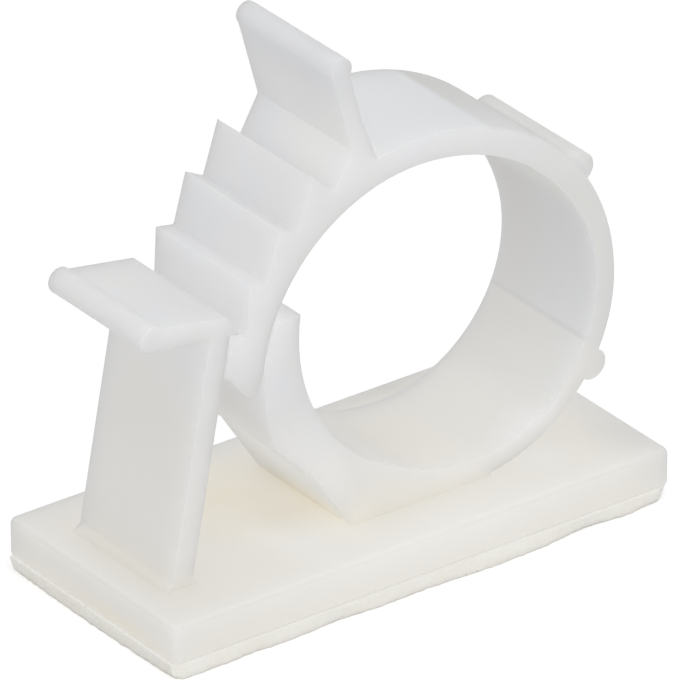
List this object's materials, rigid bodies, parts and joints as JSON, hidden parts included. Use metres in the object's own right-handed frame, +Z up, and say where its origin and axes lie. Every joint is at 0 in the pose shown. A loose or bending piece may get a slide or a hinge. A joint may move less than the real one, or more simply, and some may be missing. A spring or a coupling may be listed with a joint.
{
  "type": "adhesive cable clip",
  "caption": "Adhesive-backed cable clip: a flat base on a foam pad carries a looped strap whose ratchet teeth catch under a release lip, closing round a cable bundle.",
  "frame": {"origin": "centre of the base in plan, on the underside of the foam pad", "axes": "+X along the base from the latch towards the loop, +Y across the base, +Z up from the surface that the pad is stuck to"},
  "size_m": [0.0274, 0.0126, 0.0262],
  "materials": {
    "nylon": "milky translucent natural nylon with a soft sheen",
    "foam_tape": "closed-cell foam tape with rough cut edges"
  },
  "bodies": {
    "root": {"clip_body": "nylon", "adhesive_pad": "foam_tape"}
  },
  "joints": []
}
